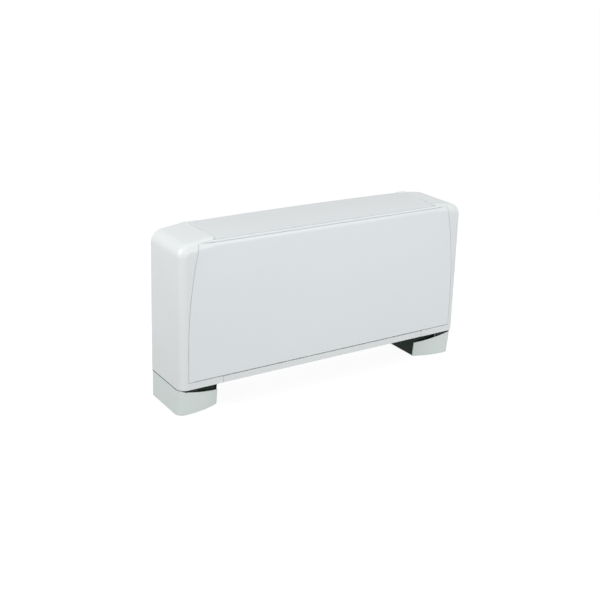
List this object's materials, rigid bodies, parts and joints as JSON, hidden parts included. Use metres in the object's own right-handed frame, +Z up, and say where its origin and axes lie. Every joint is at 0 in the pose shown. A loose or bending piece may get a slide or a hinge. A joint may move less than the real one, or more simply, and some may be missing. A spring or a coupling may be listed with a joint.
{
  "type": "floor standing fan coil unit",
  "caption": "Low, wide white fan coil cabinet on two feet: flat front panel between moulded end caps, hinged top discharge flap, slide-out filter below.",
  "frame": {"origin": "middle of the footprint on the floor", "axes": "+X along the width towards the right end seen from the front, +Y from the front panel to the wall, +Z up"},
  "size_m": [1.2, 0.22, 0.632],
  "materials": {
    "white_plastic": "satin moulded",
    "white_enamel": "satin powder coat",
    "foot_plastic": "satin moulded",
    "dark_enamel": "matt powder coat",
    "galvanised": "galvanised sheet",
    "steel": "zinc plated",
    "motor_enamel": "satin",
    "rubber": "matt",
    "fan_plastic": "matt moulded",
    "filter_plastic": "satin moulded",
    "mesh": "woven net",
    "fin_aluminium": "mill finish",
    "copper": "drawn copper",
    "brass": "turned",
    "pan_plastic": "matt moulded",
    "box_plastic": "matt moulded",
    "terminal_plastic": "matt moulded",
    "capacitor_can": "smooth"
  },
  "bodies": {
    "casing": {"air_vent": "brass", "auxiliary_tray": "pan_plastic", "cable_gland": "box_plastic", "capacitor": "capacitor_can", "coil_fins": "fin_aluminium", "coil_headers": "copper", "coil_return_bends": "copper", "discharge_grille": "white_plastic", "drain_pan": "pan_plastic", "drain_spout": "pan_plastic", "fan_deck": "galvanised", "fan_motor": "motor_enamel", "flap_hinge_pins": "steel", "foot_cover_screws": "steel", "foot_pads": "rubber", "frame_bolts": "steel", "front_beam": "galvanised", "front_panel": "white_enamel", "intake_front_rail": "galvanised", "intake_rear_rail": "galvanised", "left_coil_plate": "galvanised", "left_end_cap": "white_plastic", "left_filter_rail": "galvanised", "left_foot_bracket": "dark_enamel", "left_foot_cover": "foot_plastic", "left_frame_plate": "galvanised", "left_scroll_lower": "fan_plastic", "left_scroll_upper": "fan_plastic", "motor_bearings": "steel", "motor_cradle": "galvanised", "motor_rubber_rings": "rubber", "rear_panel": "galvanised", "right_coil_plate": "galvanised", "right_end_cap": "white_plastic", "right_filter_rail": "galvanised", "right_foot_bracket": "dark_enamel", "right_foot_cover": "foot_plastic", "right_frame_plate": "galvanised", "right_scroll_lower": "fan_plastic", "right_scroll_upper": "fan_plastic", "terminal_block": "terminal_plastic", "terminal_box": "box_plastic", "terminal_box_cover": "box_plastic", "water_unions": "brass"},
    "flap": {"discharge_flap": "white_plastic"},
    "filter_drawer": {"filter_frame": "filter_plastic", "filter_mesh": "mesh"},
    "fan_rotor": {"fan_shaft": "steel", "left_impeller": "fan_plastic", "right_impeller": "fan_plastic"}
  },
  "joints": [
    {"name": "flap_hinge", "type": "hinge", "parent": "casing", "child": "flap", "pos_m": [0, 0.093, 0.621], "axis": [-1, 0, 0], "range_deg": [0, 70]},
    {"name": "filter_slide", "type": "slide", "parent": "casing", "child": "filter_drawer", "axis": [0, -1, 0], "range_m": [0, 0.19]},
    {"name": "fan_spin", "type": "hinge", "parent": "casing", "child": "fan_rotor", "pos_m": [0, -0.00375, 0.228], "axis": [1, 0, 0], "continuous": true}
  ]
}
